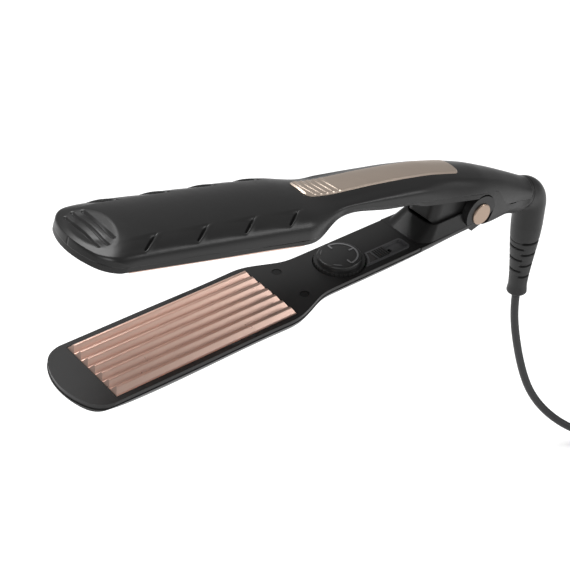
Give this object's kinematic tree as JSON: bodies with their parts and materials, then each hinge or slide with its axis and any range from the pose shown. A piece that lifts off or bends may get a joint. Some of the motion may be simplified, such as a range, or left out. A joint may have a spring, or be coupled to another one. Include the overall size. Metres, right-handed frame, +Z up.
{
  "type": "hair straightener",
  "caption": "Two hinged arms with ridged crimping plates, a temperature dial and slide switch on the lower handle, a swivel cord boot and a coiled mains cord.",
  "frame": {"origin": "in the middle of the grip, between the two handles, 54 mm in front of the hinge pin's axis and 30 mm above it", "axes": "+X from the plates back to the hinge and cord, +Y across the arms to the side away from the slide switch, +Z up out of the lower arm's plate"},
  "size_m": [0.4484, 0.0727, 0.2639],
  "materials": {
    "rose_plate": "rose gold anodised, ridged",
    "body_dark": "dark charcoal satin-gloss shell",
    "body_inner": "dark charcoal inner face",
    "champagne": "champagne trim",
    "bronze": "bronze hinge cap",
    "heat_plastic": "heat-resistant carrier",
    "ceramic": "pale ceramic heater",
    "spring_steel": "bare steel",
    "screw_steel": "screw steel",
    "board_green": "circuit board",
    "black_plastic": "black plastic",
    "dial_black": "black soft-touch dial",
    "lens": "smoked lamp lens",
    "led": "red lamp",
    "glass_bead": "glass bead sensor",
    "wire_cover": "insulated leads",
    "cord_black": "flexible cord",
    "boot_black": "ribbed rubber boot",
    "pin_brass": "plated pin",
    "nylon": "pale nylon washer"
  },
  "bodies": {
    "upper_arm": {"upper_outer_shell": "body_dark", "upper_inner_shell": "body_inner", "handle_inlay": "champagne", "upper_plate": "rose_plate", "upper_plate_carrier": "heat_plastic", "upper_heater": "ceramic", "upper_heater_clip": "spring_steel", "upper_plate_screws": "screw_steel", "thermal_fuse": "glass_bead", "upper_wires": "wire_cover", "hinge_pin": "spring_steel", "hinge_washers": "nylon", "return_spring": "spring_steel", "swivel_collar": "body_inner", "cord_clamp": "black_plastic", "cord_stretch": "cord_black", "cord_coil": "cord_black", "plug_body": "cord_black", "plug_pins": "pin_brass"},
    "lower_arm": {"lower_outer_shell": "body_dark", "lower_inner_shell": "body_inner", "lower_plate": "rose_plate", "lower_plate_carrier": "heat_plastic", "lower_heater": "ceramic", "lower_heater_clip": "spring_steel", "lower_plate_screws": "screw_steel", "temperature_sensor": "glass_bead", "lower_wires": "wire_cover", "hinge_caps": "bronze", "face_screws": "screw_steel", "control_board": "board_green", "board_screws": "screw_steel", "potentiometer": "black_plastic", "slide_switch": "spring_steel", "window_frame": "body_inner", "lamp_lens": "lens", "indicator_led": "led"},
    "dial": {"dial_knob": "dial_black", "dial_shaft": "spring_steel"},
    "slide_knob": {"slide_knob": "dial_black"},
    "swivel": {"swivel_elbow": "body_inner", "cord_boot": "boot_black"}
  },
  "joints": [
    {"name": "arm_hinge", "type": "hinge", "parent": "upper_arm", "child": "lower_arm", "pos_m": [0.054, 0, -0.03], "axis": [0, 1, 0], "range_deg": [0, 15.9], "stiffness_Nm_per_rad": 0.4, "springref_deg": -20.05, "deforming": ["return_spring"]},
    {"name": "dial_turn", "type": "hinge", "parent": "lower_arm", "child": "dial", "pos_m": [-0.0255, 0, -0.032], "axis": [0, 0, -1], "range_deg": [0, 270]},
    {"name": "switch_slide", "type": "slide", "parent": "lower_arm", "child": "slide_knob", "axis": [1, 0, 0], "range_m": [0, 0.005]},
    {"name": "cord_swivel", "type": "hinge", "parent": "upper_arm", "child": "swivel", "pos_m": [0.05441, 0, -0.02856], "axis": [0.9617, 0, -0.274], "continuous": true}
  ]
}
